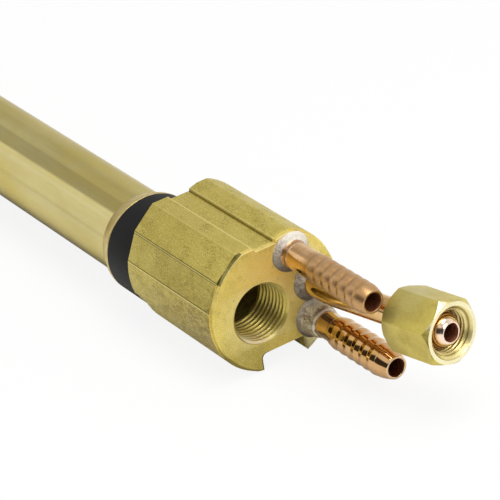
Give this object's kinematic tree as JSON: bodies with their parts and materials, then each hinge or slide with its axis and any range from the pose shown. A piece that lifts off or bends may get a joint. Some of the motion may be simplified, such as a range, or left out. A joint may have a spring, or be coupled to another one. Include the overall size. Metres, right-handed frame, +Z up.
{
  "type": "welding torch gooseneck",
  "caption": "Bent water-cooled neck of a gas-shielded welding torch: connection block with wire thread, hose tails and union nut at one end, nozzle seat and tip holder at the other.",
  "frame": {"origin": "centre of the wire thread's mouth on the connection block's rear face", "axes": "+X out of the thread's mouth, away from the neck; +Z up, with the block on its two feet; the neck bends towards -Y"},
  "size_m": [0.265, 0.0949, 0.029],
  "materials": {
    "brass": "drawn and machined, semi-matt",
    "dull_brass": "dull, slightly brown",
    "copper": "polished copper",
    "braze": "grainy flux and solder",
    "black_plastic": "matt",
    "pale_plastic": "matt",
    "spring_steel": "drawn wire",
    "ceramic": "unglazed"
  },
  "bodies": {
    "neck": {"rear_block": "brass", "insulating_ring": "black_plastic", "rear_collar": "dull_brass", "jacket_tube": "brass", "insulating_sleeve": "pale_plastic", "conductor_tube": "copper", "gas_tube": "copper", "water_feed_pipe": "copper", "gas_tail": "copper", "water_tail": "copper", "return_tube": "copper", "gas_tail_braze": "braze", "water_tail_braze": "braze", "return_tube_braze": "braze", "cone_nipple": "copper", "front_collar": "dull_brass", "front_insulator": "black_plastic", "front_head": "brass", "nozzle_sleeve": "black_plastic", "retaining_ring": "spring_steel", "tip_holder": "brass", "gas_diffuser": "ceramic"},
    "nut": {"union_nut": "brass"}
  },
  "joints": [
    {"name": "nut_spin", "type": "hinge", "parent": "neck", "child": "nut", "pos_m": [0.00902, 0.01355, 0.00274], "axis": [0.9886, 0.1167, 0.0952], "continuous": true}
  ]
}
